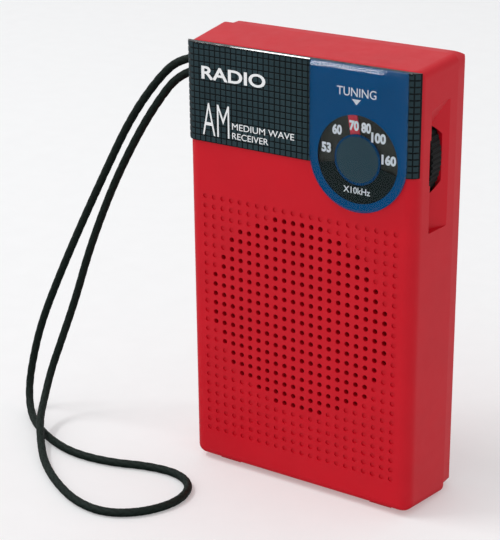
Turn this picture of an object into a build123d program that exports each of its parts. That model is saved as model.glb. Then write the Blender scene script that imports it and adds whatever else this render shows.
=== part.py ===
from build123d import *
import os
from math import cos, hypot, pi, radians, sin, sqrt, tan

# Pocket transistor radio, millimetres. X is the width, Y runs from the front to the back, Z is up.
# The origin is on the surface that the radio stands on, at the middle of its width and depth.

# Driving dimensions
SEAM_WIDTH = 64.7
SEAM_HEIGHT = 111.3
SEAM_DEPTH = 16.3
CASE_DEPTH = 24.9
DRAFT = 1.2  # how far each side of the front shell leans in between the seam and the front
WALL = 1.6
REAR_WALL = 1.4
REAR_INSET = 0.3
SEAM_GAP = 0.2
FRONT_EDGE_RADIUS = 2.9
TOP_CORNER_RADIUS = 2.0
BOTTOM_CORNER_RADIUS = 2.4
REAR_CORNER_RADIUS = 3.6
REAR_ROUND = 7.35
REAR_OVERSHOOT = 0.35  # the back's curve meets the walls at an angle, past this width

WINDOW_RISE = 1.75
MASK_THICKNESS = 0.35
PANEL_RISE = 0.45
PANEL_BOTTOM = 86.1
PANEL_WRAP = 1.3

GRILLE_PITCH = 2.5
GRILLE_COLUMNS = 22
GRILLE_ROWS = 26
GRILLE_TOP = 72.2
GRILLE_HOLE_RADIUS = 0.65
GRILLE_OPEN_STEPS = 10.0
DIMPLE_DEPTH = 0.28

SPEAKER_Z = GRILLE_TOP - 10.5 * GRILLE_PITCH
SPEAKER_RADIUS = 28.5
MAGNET_RADIUS = 11.5

DIAL_X = 16.2
DIAL_Z = 88.5
WINDOW_RADIUS = 12.45
WHEEL_RADIUS = 15.6
WHEEL_TEETH = 72
DIAL_DISC_RADIUS = 10.7
DIAL_HOLE_RADIUS = 11.3
RING_OUTER = 10.4
RING_INNER = 5.9
RING_END_ANGLE = 12.0  # how far below the horizontal the open part of the ring reaches, degrees

RECESS_FRONT = 5.8
RECESS_REAR = 13.5
RECESS_DEPTH = 2.5

VOLUME_X = -23.3
VOLUME_Z = 85.0
VOLUME_RADIUS = 9.0

JACK_Z = 60.0
JACK_DEPTH = 9.5
JACK_BORE_RADIUS = 1.8

CELL_RADIUS = 7.1
CELL_HALF_LENGTH = 25.25
CELL_DEPTH = 15.9
LOWER_CELL_Z = 9.1
UPPER_CELL_Z = 23.8

DOOR_HALF_WIDTH = 26.15
DOOR_TOP = 32.75
DOOR_GAP = 0.25
HINGE_DEPTH = 24.0
HINGE_Z = 9.3
KNUCKLE_RADIUS = 0.9
HINGE_PIN_RADIUS = 0.55
HINGE_PIN_LENGTH = 1.5
RUNNING_GAP = 0.05

BOARD_FRONT = 11.6
BOARD_THICKNESS = 1.2
BOARD_HALF_WIDTH = 28.2
BOARD_BOTTOM = 33.9
BOARD_TOP = 108.0

CASE_SCREWS = ((-22.0, 69.5), (22.0, 69.5))
BOARD_SCREWS = ((-2.0, 105.0), (-25.5, 99.5), (25.5, 104.5))

STRAP_DIAMETER = 2.1
STRAP_EXIT_X = -31.9
STRAP_DEPTH = 8.0
STRAP_MIDDLE_Z = 102.7

FRONT_Y = -(CASE_DEPTH + WINDOW_RISE) / 2 + WINDOW_RISE


def deep(distance):
    """The Y of a point this far behind the front plane."""
    return FRONT_Y + distance


def side_x(depth):
    """The outer X of the front shell's side at a depth."""
    return SEAM_WIDTH / 2 - DRAFT * (1 - depth / SEAM_DEPTH)


def block(x0, x1, d0, d1, z0, z1):
    """A box between two values on each axis, with Y given as depth behind the front plane."""
    middle = Pos((x0 + x1) / 2, deep((d0 + d1) / 2), (z0 + z1) / 2)
    return middle * Box(x1 - x0, d1 - d0, z1 - z0)


def rod_y(x, z, radius, d0, d1):
    """A cylinder along the depth."""
    return Pos(x, deep((d0 + d1) / 2), z) * Rot(90, 0, 0) * Cylinder(radius, d1 - d0)


def rod_x(depth, z, radius, x0, x1):
    """A cylinder along the width."""
    return Pos((x0 + x1) / 2, deep(depth), z) * Rot(0, 90, 0) * Cylinder(radius, x1 - x0)


def front_plane(depth):
    """A drawing plane seen from the front, at a depth: its axes are X and Z."""
    return Plane(origin=(0, deep(depth), 0), x_dir=(1, 0, 0), z_dir=(0, -1, 0))


def face_on(plane, edges):
    """A face on a drawing plane, from its edges in order."""
    return make_face([plane * edge for edge in edges])


def prism(face, depth):
    """A face drawn on a front plane, extruded backwards by a depth."""
    return extrude(face, amount=depth, dir=(0, 1, 0))


def turned(points, x, z):
    """A solid of revolution about a line along the depth: points are (radius, depth)."""
    plane = Plane(origin=(0, 0, 0), x_dir=(1, 0, 0), z_dir=(0, 0, 1))
    outline = make_face(plane * Polyline(*[(r, deep(d)) for r, d in points], close=True))
    return Pos(x, 0, z) * revolve(outline, axis=Axis.Y)


def stadium(x_centre, depth_centre, z_centre, width, height, x0, x1):
    """A slot-shaped plug along X, with its long side upright."""
    body = block(x0, x1, depth_centre - width / 2, depth_centre + width / 2,
                 z_centre - height / 2 + width / 2, z_centre + height / 2 - width / 2)
    for end in (-1, 1):
        body += rod_x(depth_centre, z_centre + end * (height - width) / 2, width / 2, x0, x1)
    return body


# Case shells


def front_shell_solid(inset, start, end, radius):
    """The front shell's drafted block, inset all round, with rounded upright front edges."""
    x0, x1 = side_x(start) - inset, side_x(end) - inset
    y0, y1 = deep(start), deep(end)
    lean = 0.05  # the arc starts slightly off the front plane, so that the edges stay separate
    plan = [
        Line((-x0 + radius, y0), (x0 - radius, y0)),
        Spline((x0 - radius, y0), (x0 - 0.293 * radius, y0 + 0.293 * radius), (x0, y0 + radius),
               tangents=[(1, lean), (DRAFT / SEAM_DEPTH, 1)]),
        Line((x0, y0 + radius), (x1, y1)),
        Line((x1, y1), (-x1, y1)),
        Line((-x1, y1), (-x0, y0 + radius)),
        Spline((-x0, y0 + radius), (-x0 + 0.293 * radius, y0 + 0.293 * radius),
               (-x0 + radius, y0), tangents=[(DRAFT / SEAM_DEPTH, -1), (1, -lean)]),
    ]
    body = extrude(face_on(Plane.XY, plan), amount=SEAM_HEIGHT + 2, dir=(0, 0, 1))
    low0, low1 = DRAFT * (1 - start / SEAM_DEPTH) + inset, DRAFT * (1 - end / SEAM_DEPTH) + inset
    high0, high1 = SEAM_HEIGHT - low0, SEAM_HEIGHT - low1
    reach = 1.0
    slope = (low1 - low0) / (end - start) * reach
    side = Polyline((y0 - reach, low0 - slope), (y1 + reach, low1 + slope),
                    (y1 + reach, high1 - slope), (y0 - reach, high0 + slope), close=True)
    band = extrude(make_face(Plane.YZ * side), amount=SEAM_WIDTH, both=True)
    return body & band


def front_shell_outer():
    """The outside of the front shell with its rounded top and bottom edges."""
    body = front_shell_solid(0, 0, SEAM_DEPTH, FRONT_EDGE_RADIUS)
    top = body.faces().sort_by(Axis.Z)[-1]
    top_edges = [e for e in top.edges() if deep(0.1) < e.center().Y < deep(SEAM_DEPTH - 0.1)]
    body = fillet(top_edges, TOP_CORNER_RADIUS)
    bottom = body.faces().sort_by(Axis.Z)[0]
    bottom_edges = [e for e in bottom.edges() if e.center().Y < deep(SEAM_DEPTH - 0.1)]
    return fillet(bottom_edges, BOTTOM_CORNER_RADIUS)


def grille_cutters():
    """The grille's holes: through holes inside the speaker's circle and shallow dimples outside."""
    cutters = []
    for row in range(GRILLE_ROWS):
        for column in range(GRILLE_COLUMNS):
            reach = hypot(column - 10.5, row - 10.5)
            x = (column - 10.5) * GRILLE_PITCH
            z = GRILLE_TOP - row * GRILLE_PITCH
            depth = WALL + 0.4 if reach <= GRILLE_OPEN_STEPS else DIMPLE_DEPTH
            cutters.append(rod_y(x, z, GRILLE_HOLE_RADIUS, -0.4, depth))
    return cutters


def thumb_recess():
    """The hollow in the right side around the tuning wheel: its floor rises to the rear and top."""
    outer, floor = SEAM_WIDTH / 2 + 1, side_x(9) - RECESS_DEPTH
    outline = Polyline((outer, 71.6), (floor, 71.6), (floor, 95.0), (side_x(9), 101.6),
                       (outer, 103.6), close=True)
    hollow = prism(make_face(front_plane(RECESS_FRONT) * outline), RECESS_REAR - RECESS_FRONT + 1)
    rise = Polyline((outer, deep(RECESS_FRONT - 1)), (floor, deep(RECESS_FRONT - 1)),
                    (floor, deep(RECESS_FRONT)), (side_x(RECESS_REAR), deep(RECESS_REAR)),
                    (outer, deep(RECESS_REAR + 0.5)), close=True)
    return hollow & extrude(make_face(Plane.XY * rise), amount=SEAM_HEIGHT, dir=(0, 0, 1))


def make_front_case():
    """The red front shell, with grille, dial hole, thumb recess, slots, bosses and feet."""
    case = front_shell_outer()
    case -= front_shell_solid(WALL, WALL, SEAM_DEPTH, 1.4)
    case += block(28.4, side_x(4.8) - 0.4, 4.8, 14.4, 70.4, 103.0)
    case -= thumb_recess()
    case -= rod_y(DIAL_X, DIAL_Z, WHEEL_RADIUS + 0.5, 5.4, 11.3)
    case -= rod_y(DIAL_X, DIAL_Z, DIAL_HOLE_RADIUS, -1, WALL + 1)
    for x, z in CASE_SCREWS:
        case += rod_y(x, z, 2.6, WALL - 0.2, SEAM_DEPTH - 0.1) - rod_y(x, z, 1.15, 4, SEAM_DEPTH)
    for x, z in BOARD_SCREWS:
        case += rod_y(x, z, 1.8, WALL - 0.2, BOARD_FRONT) - rod_y(x, z, 0.75, 5, BOARD_FRONT + 1)
    for x, z in speaker_screw_places():
        case += rod_y(x, z, 2.0, WALL - 0.2, 2.95) - rod_y(x, z, 0.75, 1.8, 4)
    slot = (5.6, 9.4)
    case -= block(-SEAM_WIDTH / 2 - 1, -29.0, *slot, VOLUME_Z - 7.6, VOLUME_Z + 7.6)
    case -= rod_x(JACK_DEPTH, JACK_Z, 2.95, -SEAM_WIDTH / 2 - 1, -29.0)
    case -= stadium(0, STRAP_DEPTH, STRAP_MIDDLE_Z, 3.6, 7.0, -SEAM_WIDTH / 2 - 1, -28.0)
    for x in (-22.0, 22.0):
        case += block(x - 3, x + 3, 3.0, 9.0, 0, 2.4)
    return case - grille_cutters()


def rear_profile(inset):
    """The rounded back as two crossed profiles, one seen from above and one from the side."""
    def one_profile(half, plane, shift, length, both):
        side, back = half - REAR_INSET - inset + REAR_OVERSHOOT, CASE_DEPTH - inset
        radius = REAR_ROUND - inset
        flat = side - radius + 0.05
        start = back - radius + 0.65
        centre = (back ** 2 - (side - flat) ** 2 - start ** 2) / (2 * (back - start))
        bend = back - centre
        middle = ((flat + bend * sin(pi / 4)), deep(centre + bend * cos(pi / 4)))
        out = side + 2.5
        face = face_on(plane, [
            Line((-flat + shift, deep(back)), (flat + shift, deep(back))),
            ThreePointArc((flat + shift, deep(back)), (middle[0] + shift, middle[1]),
                          (side + shift, deep(start))),
            Line((side + shift, deep(start)), (out + shift, deep(SEAM_DEPTH - 2))),
            Line((out + shift, deep(SEAM_DEPTH - 2)), (-out + shift, deep(SEAM_DEPTH - 2))),
            Line((-out + shift, deep(SEAM_DEPTH - 2)), (-side + shift, deep(start))),
            ThreePointArc((-side + shift, deep(start)), (-middle[0] + shift, middle[1]),
                          (-flat + shift, deep(back))),
        ])
        return extrude(face, amount=length, both=both)

    above = one_profile(SEAM_WIDTH / 2, Plane.XY, 0, SEAM_HEIGHT + 5, True)
    beside_plane = Plane(origin=(0, 0, 0), x_dir=(0, 0, 1), z_dir=(-1, 0, 0))
    beside = one_profile(SEAM_HEIGHT / 2, beside_plane, SEAM_HEIGHT / 2, SEAM_WIDTH, True)
    return above & beside


def rear_shell_solid(inset, start):
    """The rear shell as a solid block from a depth to the back, inset all round."""
    width = SEAM_WIDTH - 2 * (REAR_INSET + inset)
    height = SEAM_HEIGHT - 2 * (REAR_INSET + inset)
    radius = REAR_CORNER_RADIUS - inset * 0.9
    face = front_plane(start) * Pos(0, SEAM_HEIGHT / 2) * RectangleRounded(width, height, radius)
    return prism(face, CASE_DEPTH - start + 2) & rear_profile(inset)


def make_rear_cover():
    """The red rear shell, with its lip, battery compartment, hinge sockets and screw sleeves."""
    start = SEAM_DEPTH + SEAM_GAP
    cover = rear_shell_solid(0, start) - rear_shell_solid(REAR_WALL, start - 1)
    cover += lip_ring(SEAM_DEPTH - 1.3, 2.1, WALL + 0.45) + lip_ring(start + 0.1, 1.6, 1.2)
    cover += block(-29.3, 29.3, 16.8, 22.5, 31.5, 32.5)
    opening = DOOR_HALF_WIDTH + DOOR_GAP
    for end in (-1, 1):
        x0, x1 = sorted((end * 28.15, end * 29.3))
        cover += block(x0, x1, 16.8, 20.4, 1.2, 32.0)
        x0, x1 = sorted((end * opening, end * 28.6))
        cover += block(x0, x1, HINGE_DEPTH - 2.0, HINGE_DEPTH - 0.6, HINGE_Z - 1.6, HINGE_Z + 1.6)
    for x, z in CASE_SCREWS:
        cover += rod_y(x, z, 2.6, SEAM_DEPTH + 0.1, CASE_DEPTH - 0.6)
        cover -= rod_y(x, z, 1.35, SEAM_DEPTH - 1, CASE_DEPTH + 1)
        cover -= turned([(0, 22.8), (1.35, 22.8), (2.6, CASE_DEPTH - 0.9), (2.6, 26), (0, 26)], x, z)
    cradle = CELL_HALF_LENGTH + 0.6
    cover -= rod_x(CELL_DEPTH, LOWER_CELL_Z, CELL_RADIUS + 0.15, -cradle, cradle)
    cover -= block(-opening, opening, 22.6, 27, HINGE_Z - 1.4, DOOR_TOP + DOOR_GAP)
    pin_hole = HINGE_PIN_RADIUS + RUNNING_GAP
    for end in (-1, 1):
        x0, x1 = sorted((end * (opening - 1), end * (opening + HINGE_PIN_LENGTH + 0.2)))
        cover -= rod_x(HINGE_DEPTH, HINGE_Z, pin_hole, x0, x1)
    return cover


def lip_ring(start, length, outer_inset):
    """A ring that follows the seam's outline, inset from it, for the lip inside the front shell."""
    plane = front_plane(start) * Pos(0, SEAM_HEIGHT / 2)
    width, height = SEAM_WIDTH - 2 * outer_inset, SEAM_HEIGHT - 2 * outer_inset
    inner_inset = WALL + 1.35
    hole = RectangleRounded(SEAM_WIDTH - 2 * inner_inset, SEAM_HEIGHT - 2 * inner_inset, 1.4)
    ring = prism(plane * RectangleRounded(width, height, 2.0), length)
    return ring - prism(plane * hole, length)


def make_battery_door():
    """The door in the lower back, with a round lower edge, hinge pins and a ribbed thumb grip."""
    plate = rear_shell_solid(0, SEAM_DEPTH + SEAM_GAP) - rear_shell_solid(REAR_WALL, SEAM_DEPTH)
    door = plate & block(-DOOR_HALF_WIDTH, DOOR_HALF_WIDTH, 22.7, 27, HINGE_Z, DOOR_TOP)
    door += rod_x(HINGE_DEPTH, HINGE_Z, KNUCKLE_RADIUS, -DOOR_HALF_WIDTH, DOOR_HALF_WIDTH)
    reach = DOOR_HALF_WIDTH + DOOR_GAP + HINGE_PIN_LENGTH
    door += rod_x(HINGE_DEPTH, HINGE_Z, HINGE_PIN_RADIUS, -reach, reach)
    for rib in range(5):
        z = DOOR_TOP - 3.0 - rib * 1.3
        door -= block(-7.0, 7.0, CASE_DEPTH - 0.45, CASE_DEPTH + 1, z - 0.3, z + 0.3)
    return door


# Front dressing


def window_outline(grow):
    """The window's outline on a front plane: straight sides, with a half circle below."""
    r = WINDOW_RADIUS + grow
    top = SEAM_HEIGHT - DRAFT
    return [
        Line((DIAL_X - r, top), (DIAL_X - r, DIAL_Z)),
        ThreePointArc((DIAL_X - r, DIAL_Z), (DIAL_X, DIAL_Z - r), (DIAL_X + r, DIAL_Z)),
        Line((DIAL_X + r, DIAL_Z), (DIAL_X + r, top)),
        Line((DIAL_X + r, top), (DIAL_X - r, top)),
    ]


def make_front_panel():
    """The dark panel across the top of the front, wrapped round both upright edges."""
    top = SEAM_HEIGHT - DRAFT
    grown = front_shell_solid(-PANEL_RISE, 0, SEAM_DEPTH, FRONT_EDGE_RADIUS + PANEL_RISE)
    grown = Pos(0, -PANEL_RISE, 0) * grown
    panel = grown & block(-40, 40, -2, PANEL_WRAP, PANEL_BOTTOM, top)
    panel -= front_shell_outer()
    opening = prism(face_on(front_plane(-3), window_outline(0.12)), 3.05)
    opening += block(DIAL_X - WINDOW_RADIUS, DIAL_X + WINDOW_RADIUS, -3, 0.05, top - 2, top + 2)
    return panel - opening


def make_dial_mask():
    """The printed plate behind the window, open along the arc where the dial shows."""
    mask = prism(face_on(front_plane(-MASK_THICKNESS), window_outline(0)), MASK_THICKNESS)
    ring = rod_y(DIAL_X, DIAL_Z, RING_OUTER, -1, 1) - rod_y(DIAL_X, DIAL_Z, RING_INNER, -2, 2)
    drop = 20 * tan(radians(RING_END_ANGLE))
    lower = Polyline((DIAL_X, DIAL_Z), (DIAL_X + 20, DIAL_Z - drop), (DIAL_X + 20, DIAL_Z - 30),
                     (DIAL_X - 20, DIAL_Z - 30), (DIAL_X - 20, DIAL_Z - drop), close=True)
    ring -= prism(make_face(front_plane(-3) * lower), 6)
    return mask - ring


def make_dial_window():
    """The raised clear window with a broad bevel round its face."""
    height = WINDOW_RISE - MASK_THICKNESS
    body = prism(face_on(front_plane(-WINDOW_RISE), window_outline(0)), height)
    face = body.faces().sort_by(Axis.Y)[0]
    return chamfer(face.edges(), 0.9)


# Tuning


def knurled_wheel(x, z, radius, d0, d1, teeth, notch):
    """A thumb wheel with shallow round notches along its rim."""
    wheel = chamfer(rod_y(x, z, radius, d0, d1).edges(), 0.4)
    notches = []
    for i in range(teeth):
        angle = radians(360 * (i + 0.5) / teeth)
        place = (x + (radius + notch * 0.35) * cos(angle), z + (radius + notch * 0.35) * sin(angle))
        notches.append(rod_y(*place, notch, d0 - 1, d1 + 1))
    return wheel - notches


def make_tuning_wheel():
    """The knurled tuning wheel with a hub hole for the capacitor's shaft."""
    wheel = knurled_wheel(DIAL_X, DIAL_Z, WHEEL_RADIUS, 5.9, 10.8, WHEEL_TEETH, 0.42)
    wheel -= rod_y(DIAL_X, DIAL_Z, 3.02, 7.4, 12)
    wheel -= rod_y(DIAL_X, DIAL_Z, 1.3, 5, 8)
    trough = rod_y(DIAL_X, DIAL_Z, 12.6, 8.6, 12) - rod_y(DIAL_X, DIAL_Z, 4.8, 8, 12)
    return wheel - trough


def make_dial_disc():
    """The cup on the wheel's front that carries the red pointer behind the window."""
    cup = rod_y(DIAL_X, DIAL_Z, DIAL_DISC_RADIUS, 0.5, 5.88)
    return cup - rod_y(DIAL_X, DIAL_Z, DIAL_DISC_RADIUS - 1.0, 1.5, 7)


def pointer_bar(grow):
    """The pointer's radial bar, before it is turned to its rest angle."""
    inner, outer = RING_INNER - 0.6, RING_OUTER + 0.1
    bar = block(DIAL_X - 1.2 - grow, DIAL_X + 1.2 + grow, 0.3, 0.9 + grow, DIAL_Z + inner - grow,
                DIAL_Z + outer + grow)
    turn = Pos(DIAL_X, 0, DIAL_Z) * Rot(0, -10, 0) * Pos(-DIAL_X, 0, -DIAL_Z)
    return turn * bar


def make_wheel_screw(x, z, seat, reach, head, shank):
    """A pan head screw along the depth: its head is in front of the seat."""
    body = rod_y(x, z, head, seat - 1.2, seat) + rod_y(x, z, shank, seat - 0.1, reach)
    return body - block(x - head, x + head, seat - 1.3, seat - 0.8, z - 0.25, z + 0.25)


def make_capacitor_body():
    """The square plastic case of the variable capacitor, with a bearing hole for its shaft."""
    body = block(DIAL_X - 10, DIAL_X + 10, 12.9, 22.0, DIAL_Z - 10, DIAL_Z + 10)
    body = chamfer(body.edges().filter_by(Axis.Y), 1.2)
    return body - rod_y(DIAL_X, DIAL_Z, 3.0 + RUNNING_GAP, 12, 15.0)


def make_capacitor_shaft():
    """The capacitor's shaft, with a tapped hole for the wheel's screw."""
    return rod_y(DIAL_X, DIAL_Z, 3.0, 7.4, 14.95) - rod_y(DIAL_X, DIAL_Z, 1.2, 7, 13)


def make_capacitor_screws():
    """Two small screws that hold the capacitor to the board from the front."""
    screws = []
    for side in (-1, 1):
        x = DIAL_X + side * 7.0
        screws.append(rod_y(x, DIAL_Z, 1.6, 10.95, BOARD_FRONT) + rod_y(x, DIAL_Z, 0.9, 11.5, 12.88))
    return screws


# Volume


def make_volume_wheel():
    """The knurled volume wheel, fixed on the control's shaft."""
    wheel = knurled_wheel(VOLUME_X, VOLUME_Z, VOLUME_RADIUS, 6.0, 9.0, 44, 0.42)
    return wheel - rod_y(VOLUME_X, VOLUME_Z, 1.52, 7.2, 10) - rod_y(VOLUME_X, VOLUME_Z, 0.9, 5, 8)


def make_volume_control():
    """The volume control's body, with a bearing hole for its shaft."""
    body = rod_y(VOLUME_X, VOLUME_Z, 6.4, 9.4, BOARD_FRONT)
    return body - rod_y(VOLUME_X, VOLUME_Z, 1.5 + RUNNING_GAP, 9, 11.0)


def make_volume_shaft():
    """The volume control's shaft."""
    return rod_y(VOLUME_X, VOLUME_Z, 1.5, 7.2, 10.95) - rod_y(VOLUME_X, VOLUME_Z, 0.8, 7, 10)


# Speaker


def speaker_screw_places():
    """The three screws just outside the speaker's rim."""
    reach = SPEAKER_RADIUS + 1.1
    angles = [radians(a) for a in (90, 210, 330)]
    return [(reach * cos(a), SPEAKER_Z + reach * sin(a)) for a in angles]


def make_speaker_frame():
    """The pressed steel basket with its flat rim and four windows."""
    outline = [(SPEAKER_RADIUS, 1.95), (SPEAKER_RADIUS, 2.95), (25.6, 2.95), (13.2, 9.4), (4.2, 9.4),
               (4.2, 8.7), (12.9, 8.7), (24.9, 2.45), (24.9, 1.95)]
    frame = turned(outline, 0, SPEAKER_Z)
    for quarter in range(4):
        angle = radians(45 + 90 * quarter)
        frame -= rod_y(19 * cos(angle), SPEAKER_Z + 19 * sin(angle), 3.6, 3.3, 9)
    for x, z in speaker_screw_places():
        frame -= rod_y(x, z, 2.1, 1, 4)
    return frame


def make_speaker_cone():
    """The paper cone with its rolled edge."""
    outline = [(24.6, 2.1), (24.6, 2.4), (22.6, 2.9), (5.4, 7.6), (5.4, 7.2), (22.4, 2.5), (23.4, 2.1)]
    return turned(outline, 0, SPEAKER_Z)


def make_dust_cap():
    """The domed cap over the voice coil."""
    ball = Pos(0, deep(12.4), SPEAKER_Z) * Sphere(6.9)
    return (ball - Pos(0, deep(12.4), SPEAKER_Z) * Sphere(6.5)) & rod_y(0, SPEAKER_Z, 5.2, 4.9, 7.9)


def make_speaker_screws():
    """Three screws with broad heads that clamp the speaker's rim."""
    return [rod_y(x, z, 2.4, 2.97, 4.0) + rod_y(x, z, 0.72, 2.0, 3.1) for x, z in speaker_screw_places()]


# Circuit board and its parts


def make_circuit_board():
    """The board, cut away round the magnet, the case screws and the tuning shaft."""
    back = BOARD_FRONT + BOARD_THICKNESS
    board = block(-BOARD_HALF_WIDTH, BOARD_HALF_WIDTH, BOARD_FRONT, back, BOARD_BOTTOM, BOARD_TOP)
    board -= rod_y(0, SPEAKER_Z, MAGNET_RADIUS + 2.4, 10, 14)
    board -= block(-MAGNET_RADIUS, MAGNET_RADIUS, 10, 14, BOARD_BOTTOM - 1, SPEAKER_Z)
    board -= rod_y(DIAL_X, DIAL_Z, 3.6, 10, 14)
    for x, z in CASE_SCREWS:
        board -= rod_y(x, z, 2.9, 10, 14)
    for x, z in BOARD_SCREWS:
        board -= rod_y(x, z, 0.95, 10, 14)
    for side in (-1, 1):
        board -= rod_y(DIAL_X + side * 7.0, DIAL_Z, 1.0, 10, 14)
    return board


BOARD_BACK = BOARD_FRONT + BOARD_THICKNESS
CAN_PLACES = ((-23.6, 91.5), (-14.4, 91.5), (-5.2, 91.5), (-23.6, 81.0))
TALL_CAPACITORS = ((-14.0, 80.0, 3.1, 8.5), (-5.0, 80.5, 2.6, 7.5), (22.5, 58.5, 3.1, 8.5),
                   (-22.5, 58.0, 3.1, 8.5), (24.0, 48.5, 2.6, 7.0))
DISC_CAPACITORS = ((-1.0, 72.0), (-15.5, 73.0), (3.0, 80.0), (-24.5, 73.6), (18.5, 40.0))
RESISTOR_PLACES = ((-18.0, 37.5), (-18.0, 41.0), (-19.0, 44.5), (-21.0, 49.0), (20.0, 44.2),
                   (21.0, 64.3), (8.0, 75.2), (15.5, 75.2), (-9.5, 74.3))
TRANSISTOR_PLACES = ((-9.5, 85.6), (1.6, 86.6), (-18.0, 85.6), (-17.0, 66.6), (16.6, 66.2), (-25.0, 52.5))


def make_transformer_cans():
    """The screened coils' square metal cans, each with a hole for its core."""
    cans = []
    for x, z in CAN_PLACES:
        can = block(x - 3.6, x + 3.6, BOARD_BACK, BOARD_BACK + 8.0, z - 3.6, z + 3.6)
        can = fillet(can.edges().filter_by(Axis.Y), 0.6)
        cans.append(can - rod_y(x, z, 2.0, BOARD_BACK + 5.0, BOARD_BACK + 9))
    return cans


def make_transformer_cores():
    """The slotted tuning cores inside the cans."""
    cores = []
    for x, z in CAN_PLACES:
        core = rod_y(x, z, 1.9, BOARD_BACK + 5.1, BOARD_BACK + 7.6)
        slot = block(x - 1.3, x + 1.3, BOARD_BACK + 7.0, BOARD_BACK + 9, z - 0.3, z + 0.3)
        cores.append(core - slot)
    return cores


def make_tall_capacitors():
    """The electrolytic capacitors' sleeves, standing on the board."""
    parts = []
    for x, z, radius, length in TALL_CAPACITORS:
        body = rod_y(x, z, radius, BOARD_BACK + 0.05, BOARD_BACK + length)
        groove = rod_y(x, z, radius + 1, BOARD_BACK + 1.0, BOARD_BACK + 1.5)
        groove -= rod_y(x, z, radius - 0.2, BOARD_BACK, BOARD_BACK + 2)
        parts.append(fillet(body.edges(), 0.25) - groove)
    return parts


def make_disc_capacitors():
    """The small ceramic discs, standing on edge."""
    discs = []
    for x, z in DISC_CAPACITORS:
        disc = Pos(x, deep(BOARD_BACK + 3.0), z) * Rot(0, 90, 0) * Cylinder(2.3, 1.3)
        legs = [block(x - 0.2, x + 0.2, BOARD_BACK + 0.02, BOARD_BACK + 2.0, z + s - 0.2, z + s + 0.2)
                for s in (-1.25, 1.25)]
        discs.append(fillet(disc.edges(), 0.45) + legs)
    return discs


def make_resistors():
    """The resistors, lying along the board on their bent leads."""
    parts = []
    for x, z in RESISTOR_PLACES:
        body = fillet(rod_x(BOARD_BACK + 1.3, z, 0.85, x - 2.2, x + 2.2).edges(), 0.25)
        for side in (-1, 1):
            x0, x1 = sorted((x + side * 2.1, x + side * 3.2))
            body += block(x0, x1, BOARD_BACK + 1.05, BOARD_BACK + 1.55, z - 0.25, z + 0.25)
            x0, x1 = sorted((x + side * 2.7, x + side * 3.2))
            body += block(x0, x1, BOARD_BACK + 0.02, BOARD_BACK + 1.3, z - 0.25, z + 0.25)
        parts.append(body)
    return parts


def make_transistors():
    """The transistors: round backs with one flat side, on three legs."""
    parts = []
    for x, z in TRANSISTOR_PLACES:
        body = rod_y(x, z, 2.2, BOARD_BACK + 2.0, BOARD_BACK + 6.4)
        body -= block(x - 3, x + 3, BOARD_BACK, BOARD_BACK + 8, z - 3, z - 1.3)
        for leg in (-1, 0, 1):
            body += rod_y(x + leg * 1.2, z, 0.24, BOARD_BACK + 0.02, BOARD_BACK + 2.2)
        parts.append(body)
    return parts


TRANSFORMER_PLACES = ((-8.6, 65.8), (8.6, 66.4))


def make_transformer_cores_laminated():
    """The steel cores of the driver and output transformers."""
    parts = []
    for x, z in TRANSFORMER_PLACES:
        core = block(x - 5.5, x + 5.5, BOARD_BACK + 0.6, BOARD_BACK + 9.0, z - 2.2, z + 2.2)
        for side in (-1, 1):
            middle = x + side * 2.9
            core -= block(middle - 1.0, middle + 1.0, BOARD_BACK + 2.0, BOARD_BACK + 7.6, z - 5, z + 5)
        parts.append(core)
    return parts


def make_transformer_windings():
    """The wound bobbins round the transformers' middle limbs."""
    parts = []
    for x, z in TRANSFORMER_PLACES:
        body = block(x - 3.7, x + 3.7, BOARD_BACK + 2.2, BOARD_BACK + 7.4, z - 3.9, z + 3.9)
        for side in (-1, 0, 1):
            low, high = x + side * 4.0 - 2.05, x + side * 4.0 + 2.05
            core = block(low, high, BOARD_BACK + 1, BOARD_BACK + 9, z - 2.3, z + 2.3)
            body -= core & block(x - 1.95, x + 1.95, 0, 30, z - 2.3, z + 2.3)
            body -= core & block(x + 3.85, x + 9, 0, 30, z - 2.3, z + 2.3)
            body -= core & block(x - 9, x - 3.85, 0, 30, z - 2.3, z + 2.3)
        parts.append(body)
    return parts


# Aerial

AERIAL_DEPTH = 18.4
AERIAL_Z = 103.4
AERIAL_RADIUS = 3.9


def make_aerial_coil():
    """The aerial winding: a sleeve with a bank of rings of wire."""
    coil = rod_x(AERIAL_DEPTH, AERIAL_Z, 4.5, -20.0, -4.0)
    for turn in range(11):
        x = -19.0 + turn * 1.25
        coil += rod_x(AERIAL_DEPTH, AERIAL_Z, 4.85, x, x + 0.8)
    return coil - rod_x(AERIAL_DEPTH, AERIAL_Z, AERIAL_RADIUS + 0.05, -30, 0)


def make_aerial_holders():
    """Two plastic clips that hold the ferrite rod off the board."""
    clips = []
    for x in (-22.3, 22.3):
        clip = block(x - 1.2, x + 1.2, BOARD_BACK + 0.02, AERIAL_DEPTH + 2.6, AERIAL_Z - 4.7, AERIAL_Z + 4.2)
        clips.append(clip - rod_x(AERIAL_DEPTH, AERIAL_Z, AERIAL_RADIUS + 0.05, x - 3, x + 3))
    return clips


# Sockets, batteries, leads and strap


def make_earphone_jack():
    """The earphone socket: a body inside and a collar through the left side."""
    jack = block(-29.6, -22.6, 6.5, 11.4, JACK_Z - 3.4, JACK_Z + 3.4)
    jack += rod_x(JACK_DEPTH, JACK_Z, 2.85, -32.1, -29.4)
    return jack - rod_x(JACK_DEPTH, JACK_Z, JACK_BORE_RADIUS, -33, -23.6)


def make_cell(z, direction):
    """One round cell lying across the case, with its raised end at +X or -X."""
    ends = sorted((-direction * CELL_HALF_LENGTH, direction * (CELL_HALF_LENGTH - 1.2)))
    cell = fillet(rod_x(CELL_DEPTH, z, CELL_RADIUS, *ends).edges(), 0.6)
    nub = sorted((direction * (CELL_HALF_LENGTH - 1.4), direction * CELL_HALF_LENGTH))
    return cell + rod_x(CELL_DEPTH, z, 2.7, *nub)


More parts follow.
